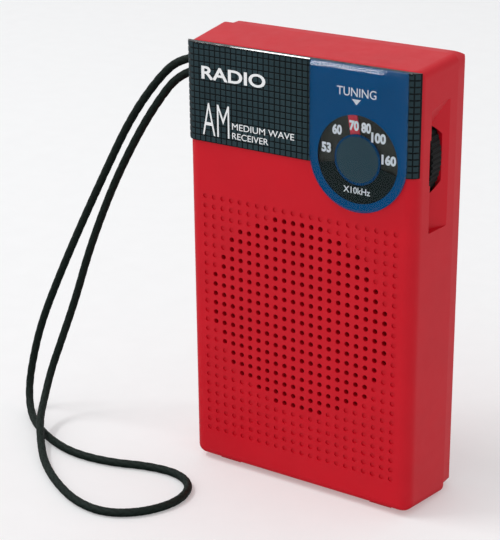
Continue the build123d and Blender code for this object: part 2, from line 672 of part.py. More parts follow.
def contact_plate(side, z0, z1):
    """A sprung brass plate at one end of the compartment."""
    x0, x1 = sorted((side * 27.7, side * 28.08))
    return block(x0, x1, 11.6, 20.0, z0, z1)


def contact_cup(side, z):
    """The raised button of a plate that meets a cell's raised end."""
    x0, x1 = sorted((side * (CELL_HALF_LENGTH + 0.02), side * 27.8))
    return rod_x(CELL_DEPTH, z, 2.4, x0, x1)


def make_link_contact():
    """The plate that joins the two cells at the right."""
    return contact_plate(1, 3.4, 29.6) + contact_cup(1, LOWER_CELL_Z)


def make_terminals():
    """The two end plates at the left."""
    return [contact_plate(-1, 3.4, 15.2), contact_plate(-1, 17.6, 29.6) + contact_cup(-1, UPPER_CELL_Z)]


def make_contact_springs():
    """The two tapered coil springs that press on the cells' flat ends."""
    springs = []
    for side, z in ((-1, LOWER_CELL_Z), (1, UPPER_CELL_Z)):
        coil = Helix(pitch=0.62, height=1.55, radius=3.4, cone_angle=-24)
        wire = sweep(Plane(origin=coil @ 0, z_dir=coil % 0) * Circle(0.25), path=coil)
        ring = Torus(3.4, 0.25)
        spring = wire + ring
        springs.append(Pos(side * 27.42, deep(CELL_DEPTH), z) * Rot(0, -side * 90, 0) * spring)
    return springs


def bent_wire(points, radius, bend):
    """A wire along straight runs joined by arcs."""
    route = [(x, deep(d), z) for x, d, z in points]
    path = FilletPolyline(*route, radius=bend)
    return sweep(Plane(origin=path @ 0, z_dir=path % 0) * Circle(radius), path=path)


def make_speaker_leads():
    """Two thin wires from the board to the speaker."""
    wires = []
    for shift in (0.0, 1.6):
        wires.append(bent_wire([(14.4 + shift, 12.9, 33.2), (14.4 + shift, 15.0, 33.2),
                                (14.4 + shift, 15.0, 36.6), (14.4 + shift, 12.85, 36.6)], 0.45, 0.9))
    return wires


def make_battery_leads():
    """Two wires from the board to the battery terminals."""
    wires = []
    for shift in (0.0, 1.6):
        wires.append(bent_wire([(-27.0 + shift, 12.85, 36.0), (-27.0 + shift, 14.2, 36.0),
                                (-27.0 + shift, 14.2, 33.2)], 0.45, 0.9))
    return wires


def make_case_screws():
    """Two countersunk screws that hold the rear cover."""
    screws = []
    for x, z in CASE_SCREWS:
        body = turned([(0, 10), (1.1, 10), (1.1, 22.75), (2.35, 23.9), (2.35, 24.6), (0, 24.6)], x, z)
        body -= block(x - 1.6, x + 1.6, 23.9, 25, z - 0.3, z + 0.3)
        body -= block(x - 0.3, x + 0.3, 23.9, 25, z - 1.6, z + 1.6)
        screws.append(body)
    return screws


def make_board_screws():
    """Three pan head screws that hold the board."""
    return [rod_y(x, z, 1.7, BOARD_BACK, BOARD_BACK + 1.1) + rod_y(x, z, 0.72, 7, BOARD_BACK + 0.1)
            for x, z in BOARD_SCREWS]


def make_strap_bush():
    """The bush in the left side that both ends of the strap come out of."""
    bush = stadium(0, STRAP_DEPTH, STRAP_MIDDLE_Z, 3.5, 6.9, STRAP_EXIT_X, -28.9)
    return bush + block(-29.6, -28.4, 5.4, 10.6, STRAP_MIDDLE_Z - 4.8, STRAP_MIDDLE_Z + 3.0)


# The strap's route, from the upper exit out to the loop on the ground and back to the lower exit
STRAP_ROUTE = [
    (-31.9, -3.575, 104.2), (-38.4, -3.6, 103.2), (-45.6, -3.9, 96.6), (-53.8, -4.8, 85.4),
    (-61.8, -6.2, 69.8), (-69.4, -7.7, 54.4), (-76.2, -9.2, 39.6), (-82.0, -10.4, 26.0),
    (-85.2, -11.3, 14.6), (-86.2, -12.6, 6.0), (-82.8, -16.4, 1.1), (-75.4, -22.2, 1.1),
    (-67.4, -26.4, 1.1), (-57.6, -29.2, 1.1), (-46.6, -28.2, 1.1), (-36.6, -24.4, 1.1),
    (-27.6, -23.6, 1.1), (-21.2, -27.6, 1.1), (-19.6, -35.6, 1.1), (-23.8, -44.2, 1.1),
    (-31.4, -49.4, 1.1), (-40.8, -48.8, 1.1), (-51.2, -43.8, 1.1), (-60.8, -37.0, 1.1),
    (-67.6, -30.2, 2.4), (-73.0, -23.8, 4.8), (-76.6, -17.4, 7.2), (-77.4, -13.2, 13.4),
    (-74.6, -11.0, 23.0), (-70.6, -9.2, 35.0), (-66.6, -7.6, 48.8), (-60.2, -5.9, 65.2),
    (-53.6, -4.9, 78.2), (-46.8, -4.1, 89.4), (-38.4, -3.6, 99.8), (-31.9, -3.575, 101.2),
]


def make_strap():
    """The wrist strap's tube: straight runs joined by arcs as large as the runs allow."""
    points = [Vector(*p) for p in STRAP_ROUTE]
    radii = []
    for before, here, after in zip(points, points[1:], points[2:]):
        run_in, run_out = here - before, after - here
        turn = radians(run_in.get_angle(run_out))
        radii.append(0.45 * min(run_in.length, run_out.length) / tan(turn / 2))
    print("strap radii", [round(r, 1) for r in radii])
    path = FilletPolyline(*STRAP_ROUTE, radius=radii)
    tube = sweep(Plane(origin=path @ 0, z_dir=path % 0) * Circle(STRAP_DIAMETER / 2), path=path)
    section = pi * STRAP_DIAMETER ** 2 / 4
    print("strap length", round(path.length, 1), "volume", round(tube.volume, 1),
          "section times length", round(section * path.length, 1))
    return tube


def save(name, shape):
    """Writes one node's STEP, joining a list of separate solids into one file."""
    if isinstance(shape, list):
        shape = Compound(children=[solid for one in shape for solid in one.solids()])
    export_step(shape, f"parts/{name}.step")


os.makedirs("parts", exist_ok=True)
save("front_case", make_front_case())
save("rear_cover", make_rear_cover())
save("battery_door", make_battery_door())
save("front_panel", make_front_panel())
save("dial_window", make_dial_window())
save("dial_mask", make_dial_mask())
save("tuning_wheel", make_tuning_wheel())
save("dial_disc", make_dial_disc() - pointer_bar(0.05))
save("dial_pointer", pointer_bar(0))
save("tuning_wheel_screw", make_wheel_screw(DIAL_X, DIAL_Z, 5.9, 12.0, 2.6, 1.15))
save("tuning_capacitor_body", make_capacitor_body())
save("tuning_capacitor_shaft", make_capacitor_shaft())
save("tuning_capacitor_screws", make_capacitor_screws())
save("volume_wheel", make_volume_wheel())
save("volume_control_body", make_volume_control())
save("volume_control_shaft", make_volume_shaft())
save("volume_wheel_screw", make_wheel_screw(VOLUME_X, VOLUME_Z, 6.0, 9.5, 1.9, 0.75))
save("speaker_frame", make_speaker_frame())
save("speaker_magnet", rod_y(0, SPEAKER_Z, MAGNET_RADIUS, 9.45, 14.0) - rod_y(0, SPEAKER_Z, 5.6, 9, 13))
save("speaker_yoke", rod_y(0, SPEAKER_Z, MAGNET_RADIUS - 0.6, 14.02, 15.2))
save("speaker_cone", make_speaker_cone())
save("speaker_dust_cap", make_dust_cap())
save("speaker_screws", make_speaker_screws())
save("grille_cloth", rod_y(0, SPEAKER_Z, 27.2, WALL + 0.02, 1.9))
save("circuit_board", make_circuit_board())
save("transformer_cans", make_transformer_cans())
save("tuning_cores", make_transformer_cores())
save("audio_transformer_cores", make_transformer_cores_laminated())
save("audio_transformer_windings", make_transformer_windings())
save("electrolytic_capacitors", make_tall_capacitors())
save("ceramic_capacitors", make_disc_capacitors())
save("resistors", make_resistors())
save("transistors", make_transistors())
save("ferrite_rod", rod_x(AERIAL_DEPTH, AERIAL_Z, AERIAL_RADIUS, -25.5, 25.5))
save("aerial_coil", make_aerial_coil())
save("aerial_holders", make_aerial_holders())
save("earphone_jack", make_earphone_jack())
save("battery_cell_lower", make_cell(LOWER_CELL_Z, 1))
save("battery_cell_upper", make_cell(UPPER_CELL_Z, -1))
save("battery_link_contact", make_link_contact())
save("battery_terminals", make_terminals())
save("battery_springs", make_contact_springs())
save("battery_leads", make_battery_leads())
save("speaker_leads", make_speaker_leads())
save("case_screws", make_case_screws())
save("board_screws", make_board_screws())
save("strap_bush", make_strap_bush())
save("wrist_strap", make_strap())
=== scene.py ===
import logging
import math
from dataclasses import dataclass, field, replace
from enum import Enum
from typing import Any, Protocol

import bmesh
import bpy
from mathutils import Matrix, Vector


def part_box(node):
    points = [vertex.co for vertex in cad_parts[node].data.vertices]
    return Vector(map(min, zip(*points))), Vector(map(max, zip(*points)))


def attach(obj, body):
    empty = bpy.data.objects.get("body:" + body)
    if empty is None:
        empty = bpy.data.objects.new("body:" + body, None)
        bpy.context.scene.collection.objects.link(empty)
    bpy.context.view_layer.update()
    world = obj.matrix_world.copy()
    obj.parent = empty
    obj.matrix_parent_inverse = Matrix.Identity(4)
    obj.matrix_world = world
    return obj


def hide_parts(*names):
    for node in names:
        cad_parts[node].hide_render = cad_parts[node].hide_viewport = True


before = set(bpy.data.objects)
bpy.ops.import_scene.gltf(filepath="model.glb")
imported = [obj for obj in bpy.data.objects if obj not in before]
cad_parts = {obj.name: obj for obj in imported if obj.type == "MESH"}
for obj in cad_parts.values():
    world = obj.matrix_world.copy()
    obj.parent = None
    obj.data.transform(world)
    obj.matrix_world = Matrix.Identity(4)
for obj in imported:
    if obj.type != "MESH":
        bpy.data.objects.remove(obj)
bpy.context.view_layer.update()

# A red pocket radio with a clear dial window, a squared panel and a braided wrist strap.
# Sizes are in millimetres and are turned into metres where a mesh is made.

MM = 0.001
WHITE = (0.86, 0.87, 0.88)
LENS_TINT = (0.93, 0.97, 1.0)
SHARP_ANGLE = math.radians(38)
ORIGIN = Vector((0, 0, 0))
# Points nearer together than this are taken as one.
NEAR = 0.001
LOG = logging.getLogger("pocket_radio")

Colour = tuple[float, float, float]
Socket = bpy.types.NodeSocket


class Body(Enum):
    """The body of the frame that the added pieces ride."""

    CASE = "case"


class Facing(Enum):
    """The side that flat lettering faces."""

    FRONT = "front"
    BACK = "back"


class Shading(Enum):
    """How a piece's faces are shaded."""

    FLAT = "flat"
    SMOOTH = "smooth"
    EDGED = "smooth, with its sharp edges kept"


# Finishes


class Graph:
    """A material's node tree with short calls for what the finishes share."""

    def __init__(self, name: str) -> None:
        """Start a material whose pattern reads Object coordinates.

        Args:
            name: The material's name.
        """
        self.material = bpy.data.materials.new(name)
        self.material.use_nodes = True
        self.tree = self.material.node_tree
        self.shader = self.tree.nodes["Principled BSDF"]
        self.place = self.add("ShaderNodeTexCoord").outputs["Object"]

    def add(self, kind: str, **values: Any) -> bpy.types.Node:
        """Add a node.

        Args:
            kind: The node's type name.
            values: Attributes of the node to set.

        Returns:
            The new node.
        """
        node = self.tree.nodes.new(kind)
        for key, value in values.items():
            setattr(node, key, value)
        return node

    def link(self, source: Socket, target: Socket) -> None:
        """Join an output to an input."""
        self.tree.links.new(source, target)

    def moved(self, stretch: tuple[float, float, float], centre: Vector = ORIGIN) -> Socket:
        """Object coordinates measured from a point, in metres.

        Args:
            stretch: How much each axis is multiplied.
            centre: The point that becomes the origin.

        Returns:
            The moved coordinates.
        """
        node = self.add("ShaderNodeMapping", vector_type="POINT")
        node.inputs["Scale"].default_value = stretch
        node.inputs["Location"].default_value = [-c * s for c, s in zip(centre, stretch)]
        self.link(self.place, node.inputs["Vector"])
        return node.outputs["Vector"]

    def noise(self, size: float, detail: float = 3.0, place: Socket | None = None) -> Socket:
        """A cloudy pattern.

        Args:
            size: The size of its marks in millimetres.
            detail: How many finer layers it has.
            place: Coordinates to use in place of Object's.

        Returns:
            The pattern, from 0 to 1.
        """
        node = self.add("ShaderNodeTexNoise")
        node.inputs["Scale"].default_value = 1 / (size * MM)
        node.inputs["Detail"].default_value = detail
        self.link(place or self.place, node.inputs["Vector"])
        return node.outputs["Fac"]

    def wave(self, period: float, axis: str, place: Socket | None = None) -> Socket:
        """Straight stripes across an axis.

        Args:
            period: The distance from stripe to stripe in millimetres.
            axis: X, Y or Z.
            place: Coordinates to use in place of Object's.

        Returns:
            The stripes, from 0 to 1.
        """
        node = self.add("ShaderNodeTexWave", bands_direction=axis)
        node.inputs["Scale"].default_value = math.pi / (10 * period * MM)
        self.link(place or self.place, node.inputs["Vector"])
        return node.outputs["Fac"]

    def maths(self, operation: str, first: Socket, second: Socket | float) -> Socket:
        """A sum on two values.

        Args:
            operation: A Math node's operation.
            first: The first value.
            second: The second value, or a plain number.

        Returns:
            The result.
        """
        node = self.add("ShaderNodeMath", operation=operation)
        self.link(first, node.inputs[0])
        if isinstance(second, (int, float)):
            node.inputs[1].default_value = second
        else:
            self.link(second, node.inputs[1])
        return node.outputs[0]

    def distance(self, place: Socket) -> Socket:
        """How far coordinates are from their origin, in metres."""
        node = self.add("ShaderNodeVectorMath", operation="LENGTH")
        self.link(place, node.inputs[0])
        return node.outputs["Value"]

    def colours(
        self, value: Socket, stops: list[tuple[float, Colour]], steps: bool = False
    ) -> Socket:
        """A value turned into colours.

        Args:
            value: The value, from 0 to 1.
            stops: Places from 0 to 1, each with its colour.
            steps: Whether each colour holds until the next place.

        Returns:
            The colour.
        """
        node = self.add("ShaderNodeValToRGB")
        ramp = node.color_ramp
        ramp.interpolation = "CONSTANT" if steps else "LINEAR"
        while len(ramp.elements) < len(stops):
            ramp.elements.new(1.0)
        for element, (place, colour) in zip(ramp.elements, stops):
            element.position = place
            element.color = (*colour, 1.0)
        self.link(value, node.inputs["Fac"])
        return node.outputs["Color"]

    def spread(self, value: Socket, low: float, high: float) -> Socket:
        """A value from 0 to 1 spread between two numbers."""
        node = self.add("ShaderNodeMapRange")
        node.inputs["To Min"].default_value = low
        node.inputs["To Max"].default_value = high
        self.link(value, node.inputs["Value"])
        return node.outputs["Result"]

    def relief(self, height: Socket, depth: float) -> Socket:
        """Surface relief.

        Args:
            height: The relief's pattern, from 0 to 1.
            depth: The relief's depth in millimetres.

        Returns:
            The normal, which the shader takes.
        """
        node = self.add("ShaderNodeBump")
        node.inputs["Distance"].default_value = depth * MM
        self.link(height, node.inputs["Height"])
        return node.outputs["Normal"]

    def dress(
        self, colour: Socket, roughness: Socket, normal: Socket, **values: float
    ) -> bpy.types.Material:
        """Join patterns to the shader.

        Args:
            colour: The base colour.
            roughness: The roughness.
            normal: The relief.
            values: Plain numbers for the shader's own sockets, with _ for a space.

        Returns:
            The finished material.
        """
        self.link(colour, self.shader.inputs["Base Color"])
        self.link(roughness, self.shader.inputs["Roughness"])
        self.link(normal, self.shader.inputs["Normal"])
        for name, value in values.items():
            self.shader.inputs[name.replace("_", " ")].default_value = value
        return self.material


def tint(colour: Colour, share: float) -> Colour:
    """A colour made lighter or darker by a share."""
    return tuple(min(1.0, c * share) for c in colour)


class Finish(Protocol):
    """Anything that makes a material."""

    def build(self, name: str) -> bpy.types.Material:
        """Make the material under a name."""


@dataclass(frozen=True)
class Plastic:
    """Moulded plastic with a fine grain, cloudy colour and handling marks in its gloss.

    Fields:
        colour: Its middle colour.
        roughness: Its middle roughness.
        grain: The size of the grain in millimetres.
        depth: The depth of the grain in millimetres.
        cloud: How far the colour strays, as a share.
        specular: The strength of its plain reflection.
    """

    colour: Colour
    roughness: float = 0.42
    grain: float = 0.35
    depth: float = 0.012
    cloud: float = 0.06
    specular: float = 0.5

    def build(self, name: str) -> bpy.types.Material:
        """Make the plastic."""
        graph = Graph(name)
        clouds = graph.noise(9.0, 4.0)
        colour = graph.colours(clouds, [
            (0.3, tint(self.colour, 1 - self.cloud)),
            (0.7, tint(self.colour, 1 + self.cloud)),
        ])
        marks = graph.noise(3.2, 6.0)
        rough = graph.spread(marks, self.roughness - 0.08, self.roughness + 0.08)
        normal = graph.relief(graph.noise(self.grain, 2.0), self.depth)
        return graph.dress(colour, rough, normal, Specular_IOR_Level=self.specular)


@dataclass(frozen=True)
class Clear:
    """Clear polished plastic, with faint wipe marks in its gloss.

    Fields:
        colour: Its tint.
        roughness: Its least roughness.
        index: Its index of refraction, which also sets how strongly it mirrors.
    """

    colour: Colour = LENS_TINT
    roughness: float = 0.015
    index: float = 1.2

    def build(self, name: str) -> bpy.types.Material:
        """Make the clear plastic."""
        graph = Graph(name)
        marks = graph.noise(5.0, 4.0, graph.moved((1, 1, 0.25)))
        rough = graph.spread(marks, self.roughness, self.roughness + 0.03)
        colour = graph.colours(marks, [(0.2, tint(self.colour, 0.97)), (0.8, self.colour)])
        normal = graph.relief(graph.noise(14.0, 0.0), 0.002)
        return graph.dress(colour, rough, normal, IOR=self.index, Transmission_Weight=1.0)


@dataclass(frozen=True)
class Metal:
    """Plated or bare metal with fine brush lines and dull spots.

    Fields:
        colour: Its colour.
        roughness: Its middle roughness.
        brushed: The width of the brush lines in millimetres.
    """

    colour: Colour
    roughness: float = 0.3
    brushed: float = 0.15

    def build(self, name: str) -> bpy.types.Material:
        """Make the metal."""
        graph = Graph(name)
        spots = graph.noise(1.6, 6.0)
        colour = graph.colours(spots, [(0.35, tint(self.colour, 0.72)), (0.6, self.colour)])
        rough = graph.spread(spots, self.roughness + 0.12, self.roughness - 0.08)
        lines = graph.noise(self.brushed, 2.0, graph.moved((1, 1, 0.08)))
        return graph.dress(colour, rough, graph.relief(lines, 0.006), Metallic=1.0)


@dataclass(frozen=True)
class Woven:
    """Plain woven cloth or paper tape, with threads both ways.

    Fields:
        colour: Its colour.
        thread: The distance from thread to thread in millimetres.
        depth: The depth of the weave in millimetres.
    """

    colour: Colour
    thread: float = 0.35
    depth: float = 0.06

    def build(self, name: str) -> bpy.types.Material:
        """Make the cloth."""
        graph = Graph(name)
        across, along = graph.wave(self.thread, "X"), graph.wave(self.thread, "Z")
        weave = graph.maths("MULTIPLY", across, along)
        fuzz = graph.maths("ADD", weave, graph.maths("MULTIPLY", graph.noise(0.2), 0.35))
        colour = graph.colours(fuzz, [(0.1, tint(self.colour, 0.4)), (0.9, tint(self.colour, 1.25))])
        rough = graph.spread(fuzz, 0.95, 0.78)
        return graph.dress(colour, rough, graph.relief(fuzz, self.depth), Sheen_Weight=0.25)


@dataclass(frozen=True)
class Pulp:
    """Pressed paper or ferrite: dull, fibrous and unevenly dark.

    Fields:
        colour: Its middle colour.
        fibre: The size of its fibres in millimetres.
        roughness: Its middle roughness.
    """

    colour: Colour
    fibre: float = 0.5
    roughness: float = 0.85

    def build(self, name: str) -> bpy.types.Material:
        """Make the pulp."""
        graph = Graph(name)
        fibres = graph.noise(self.fibre, 8.0)
        colour = graph.colours(fibres, [(0.3, tint(self.colour, 0.65)), (0.7, tint(self.colour, 1.3))])
        rough = graph.spread(fibres, self.roughness + 0.1, self.roughness - 0.1)
        return graph.dress(colour, rough, graph.relief(fibres, 0.03))


@dataclass(frozen=True)
class Laminate:
    """A circuit board: brown resin paper with a faint pattern of copper tracks.

    Fields:
        colour: The board's colour.
        track: The colour over a track.
        pad: The distance from pad to pad in millimetres.
    """

    colour: Colour = (0.23, 0.12, 0.035)
    track: Colour = (0.30, 0.19, 0.05)
    pad: float = 5.5

    def build(self, name: str) -> bpy.types.Material:
        """Make the board."""
        graph = Graph(name)
        cells = graph.add("ShaderNodeTexVoronoi", distance="MANHATTAN", feature="F1")
        cells.inputs["Scale"].default_value = 1 / (self.pad * MM)
        cells.inputs["Randomness"].default_value = 0.7
        graph.link(graph.place, cells.inputs["Vector"])
        tracks = graph.colours(cells.outputs["Distance"], [
            (0.0, self.track), (0.55, self.colour), (0.75, tint(self.colour, 0.8)),
        ], steps=True)
        fibres = graph.noise(0.6, 6.0)
        rough = graph.spread(fibres, 0.5, 0.35)
        return graph.dress(tracks, rough, graph.relief(fibres, 0.02))


@dataclass(frozen=True)
class Jacket:
    """A battery's printed metal jacket: a dark body with a light band at one end.

    Fields:
        colour: The body's colour.
        band: The band's colour.
        band_start: Where the band starts along X, in millimetres.
        reach: How far the print goes each side of X = 0, in millimetres.
        line: The width of the white line beside the band, as a share of the print.
    """

    colour: Colour = (0.012, 0.02, 0.05)
    band: Colour = (0.55, 0.36, 0.10)
    band_start: float = 9.0
    reach: float = 30.0
    line: float = 0.012

    def build(self, name: str) -> bpy.types.Material:
        """Make the jacket."""
        graph = Graph(name)
        split = graph.add("ShaderNodeSeparateXYZ")
        graph.link(graph.place, split.inputs["Vector"])
        half = graph.maths("MULTIPLY", split.outputs["X"], 0.5 / (self.reach * MM))
        along = graph.maths("ADD", half, 0.5)
        edge = 0.5 + self.band_start / (2 * self.reach)
        colour = graph.colours(along, [
            (0.0, self.colour), (edge, WHITE), (edge + self.line, self.band),
        ], steps=True)
        marks = graph.noise(1.5, 5.0)
        rough = graph.spread(marks, 0.22, 0.4)
        return graph.dress(colour, rough, graph.relief(marks, 0.01), Metallic=0.35)


@dataclass(frozen=True)
class DialPrint:
    """The dial plate: blue ink outside, a black ring, a blue line and a slate middle.

    Fields:
        centre: The dial's middle, in metres.
        rings: Radii in millimetres of the slate middle, the blue line and the black ring.
        reach: The radius in millimetres where the print ends.
    """

    centre: Vector
    rings: tuple[float, float, float] = (5.35, 5.95, 10.4)
    reach: float = 24.0
    blue: Colour = (0.001, 0.080, 0.225)
    line: Colour = (0.002, 0.050, 0.150)
    black: Colour = (0.010, 0.017, 0.016)
    slate: Colour = (0.034, 0.072, 0.090)

    def build(self, name: str) -> bpy.types.Material:
        """Make the printed plate."""
        graph = Graph(name)
        place = graph.moved((1, 0, 1), self.centre)
        radius = graph.maths("MULTIPLY", graph.distance(place), 1 / (self.reach * MM))
        middle, ring, outside = (edge / self.reach for edge in self.rings)
        colour = graph.colours(radius, [
            (0.0, self.slate), (middle, self.line), (ring, self.black), (outside, self.blue),
        ], steps=True)
        specks = graph.noise(0.25, 2.0)
        rough = graph.spread(specks, 0.35, 0.55)
        return graph.dress(colour, rough, graph.relief(specks, 0.001), Specular_IOR_Level=0.0)


@dataclass(frozen=True)
class Braid:
    """A plaited cord, with painted shade darkening the hollows between its strands and painted light
    brightening the strands' crests.
    """

    colour: Colour = (0.0020, 0.0072, 0.0050)

    def build(self, name: str) -> bpy.types.Material:
        """Make the cord's finish, from the height that the cord's mesh keeps."""
        graph = Graph(name)
        height = graph.add("ShaderNodeAttribute", attribute_name="strand").outputs["Fac"]
        fuzz = graph.maths("ADD", height, graph.maths("MULTIPLY", graph.noise(0.12, 2.0), 0.4))
        # Painted shade and light: the colour falls to about a third of the cord's colour in the
        # plait's hollows and rises well above it on the strands' crests, with random fuzz mixed in.
        colour = graph.colours(fuzz, [(0.2, tint(self.colour, 0.3)), (1.1, tint(self.colour, 1.6))])
        rough = graph.spread(fuzz, 0.9, 0.62)
        normal = graph.relief(graph.noise(0.1, 2.0), 0.03)
        return graph.dress(colour, rough, normal, Specular_IOR_Level=0.25)


WHITE_INK = Plastic(WHITE, 0.4, 0.3, 0.003, 0.02)


# Mesh work


def add_object(name: str, data: bpy.types.ID) -> bpy.types.Object:
    """Make an object of a mesh, curve, light or camera and put it in the scene.

    Args:
        name: The object's name.
        data: What it shows.

    Returns:
        The new object.
    """
    made = bpy.data.objects.new(name, data)
    bpy.context.scene.collection.objects.link(made)
    return made


def evaluated_mesh(maker: bpy.types.Object) -> bpy.types.Mesh:
    """An object's shape as a new mesh, with its modifiers or bevel applied."""
    bpy.context.view_layer.update()
    graph = bpy.context.evaluated_depsgraph_get()
    return bpy.data.meshes.new_from_object(maker.evaluated_get(graph))


def loose_mesh(form: bmesh.types.BMesh, name: str) -> bpy.types.Object:
    """Turn a bmesh into an object at the origin, in metres.

    Args:
        form: The bmesh, in millimetres, which is freed.
        name: The piece's name.

    Returns:
        The new object.
    """
    bmesh.ops.scale(form, vec=(MM, MM, MM), verts=form.verts)
    mesh = bpy.data.meshes.new(name)
    form.to_mesh(mesh)
    form.free()
    return add_object(name, mesh)


def finish_piece(
    piece: bpy.types.Object, material: bpy.types.Material, body: Body,
    shading: Shading = Shading.FLAT,
) -> bpy.types.Object:
    """Dress a piece and let it ride its body.

    Args:
        piece: The object.
        material: Its material.
        body: The body that it rides.
        shading: How its faces are shaded.

    Returns:
        The same object.
    """
    piece.data.materials.clear()
    piece.data.materials.append(material)
    if shading is not Shading.FLAT:
        piece.data.shade_smooth()
    if shading is Shading.EDGED:
        piece.data.set_sharp_from_angle(angle=SHARP_ANGLE)
    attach(piece, body.value)
    LOG.info("%s: %d faces, rides %s", piece.name, len(piece.data.polygons), body.value)
    return piece


@dataclass(frozen=True)
class Words:
    """A line of words and its place.

    Fields:
        text: The words.
        left: Where the line starts, in millimetres along the facing side's own width.
        right: Where it ends.
        base: The height of its feet above the floor, in millimetres.
        cap: The height of its capitals, in millimetres.
        weight: How much the strokes are thickened, as a share of the letter size.
    """

    text: str
    left: float
    right: float
    base: float
    cap: float
    weight: float = 0.0

    def moved(self, across: float, up: float) -> "Words":
        """The same words, moved along the side and upwards, in millimetres."""
        return replace(
            self, left=across + self.left, right=across + self.right, base=up + self.base
        )


@dataclass
class Lettering:
    """Flat raised lettering whose lines are added one by one and joined in one piece.

    Fields:
        facing: The side that it faces.
        level: The place of its back surface along the facing axis, in millimetres.
        thickness: How far it stands out, in millimetres.
    """

    facing: Facing
    level: float
    thickness: float = 0.05
    form: bmesh.types.BMesh = field(default_factory=bmesh.new)

    def line(self, words: Words) -> None:
        """Add a line of words, stretched to fill its place."""
        half_deep, seam = 0.5, 0.0002
        curve = bpy.data.curves.new("words", "FONT")
        curve.body = words.text
        curve.resolution_u = 6
        curve.offset = words.weight
        curve.extrude = half_deep
        maker = add_object("words", curve)
        mesh = evaluated_mesh(maker)
        added = bmesh.new()
        added.from_mesh(mesh)
        bmesh.ops.remove_doubles(added, verts=added.verts, dist=seam)
        low_x, high_x = (pick(v.co.x for v in added.verts) for pick in (min, max))
        low_y, high_y = (pick(v.co.y for v in added.verts) for pick in (min, max))
        wide = (words.right - words.left) / (high_x - low_x)
        tall = words.cap / (high_y - low_y)
        bmesh.ops.translate(added, vec=(-low_x, -low_y, half_deep), verts=added.verts)
        bmesh.ops.scale(added, vec=(wide, tall, self.thickness), verts=added.verts)
        bmesh.ops.translate(added, vec=(words.left, words.base, 0), verts=added.verts)
        self.keep(added)
        bpy.data.objects.remove(maker)
        bpy.data.curves.remove(curve)
        bpy.data.meshes.remove(mesh)

    def triangle(self, middle: float, base: float, width: float, height: float) -> None:
        """Add a solid triangle that points down.

        Args:
            middle: Its middle along the side's width, in millimetres.
            base: The height of its point, in millimetres.
            width: Its width.
            height: Its height.
        """
        added = bmesh.new()
        bmesh.ops.create_cone(
            added, cap_ends=True, segments=3, radius1=1, radius2=1, depth=self.thickness,
        )
        low, high = (pick(v.co.y for v in added.verts) for pick in (min, max))
        side = max(v.co.x for v in added.verts)
        bmesh.ops.translate(added, vec=(0, -low, self.thickness / 2), verts=added.verts)
        bmesh.ops.scale(added, vec=(width / 2 / side, height / (high - low), 1), verts=added.verts)
        bmesh.ops.rotate(added, cent=(0, height / 2, 0), verts=added.verts,
                         matrix=Matrix.Rotation(math.pi, 3, "Z"))
        bmesh.ops.translate(added, vec=(middle, base, 0), verts=added.verts)
        self.keep(added)

    def keep(self, added: bmesh.types.BMesh) -> None:
        """Stand a flat shape up on the facing side and add it to the lettering."""
        turn = math.pi if self.facing is Facing.BACK else 0.0
        stand = Matrix.Rotation(turn, 4, "Z") @ Matrix.Rotation(math.pi / 2, 4, "X")
        bmesh.ops.transform(added, matrix=stand, verts=added.verts)
        bmesh.ops.translate(added, vec=(0, self.level, 0), verts=added.verts)
        bmesh.ops.recalc_face_normals(added, faces=added.faces)
        mesh = bpy.data.meshes.new("line")
        added.to_mesh(mesh)
        added.free()
        self.form.from_mesh(mesh)
        bpy.data.meshes.remove(mesh)

    def piece(self, name: str, material: bpy.types.Material, slot: str) -> bpy.types.Object:
        """Make the lettering one piece of the case."""
        return finish_piece(loose_mesh(self.form, name), material, Body.CASE)


# The radio


@dataclass
class Layout:
    """Where the radio's parts are, in millimetres, read from the frame."""

    front: float = field(init=False)
    panel_face: float = field(init=False)
    panel_bottom: float = field(init=False)
    panel_top: float = field(init=False)
    window_face: float = field(init=False)
    window_left: float = field(init=False)
    window_right: float = field(init=False)
    window_top: float = field(init=False)
    dial_x: float = field(init=False)
    dial_z: float = field(init=False)
    mask_face: float = field(init=False)

    def __post_init__(self) -> None:
        """Measure the frame."""
        panel, window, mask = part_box("front_panel"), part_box("dial_window"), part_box("dial_mask")
        self.front = mask[1].y / MM
        self.panel_face = panel[0].y / MM
        self.panel_bottom, self.panel_top = panel[0].z / MM, panel[1].z / MM
        self.window_face = window[0].y / MM
        self.window_left, self.window_right = window[0].x / MM, window[1].x / MM
        self.window_top = window[1].z / MM
        self.dial_x = (self.window_left + self.window_right) / 2
        self.dial_z = window[0].z / MM + (self.window_right - self.window_left) / 2
        self.mask_face = mask[0].y / MM

    @property
    def window_radius(self) -> float:
        """The radius of the window's round lower end."""
        return (self.window_right - self.window_left) / 2

    def window_blank(self, grow: float, back: float, face: float) -> bmesh.types.BMesh:
        """A solid with the window's outline: straight sides with a half circle below.

        Args:
            grow: How much wider than the window it is on each side.
            back: The place of its back in Y.
            face: The place of its face in Y.

        Returns:
            A bmesh in millimetres.
        """
        form = bmesh.new()
        radius, top = self.window_radius + grow, self.window_top + grow
        start = form.verts.new((self.dial_x - radius, back, self.dial_z))
        bmesh.ops.spin(form, geom=[start], cent=(self.dial_x, back, self.dial_z), axis=(0, -1, 0),
                       angle=math.pi, steps=72, use_duplicate=False)
        bmesh.ops.remove_doubles(form, verts=form.verts, dist=NEAR)
        ends = [v for v in form.verts if len(v.link_edges) == 1]
        raised = bmesh.ops.extrude_vert_indiv(form, verts=ends)["verts"]
        for vertex in raised:
            vertex.co.z = top
        form.edges.new(raised)
        base = bmesh.ops.contextual_create(form, geom=form.edges)["faces"]
        grown = bmesh.ops.extrude_face_region(form, geom=base)["geom"]
        moved = [item for item in grown if isinstance(item, bmesh.types.BMVert)]
        bmesh.ops.translate(form, vec=(0, face - back, 0), verts=moved)
        bmesh.ops.recalc_face_normals(form, faces=form.faces)
        return form


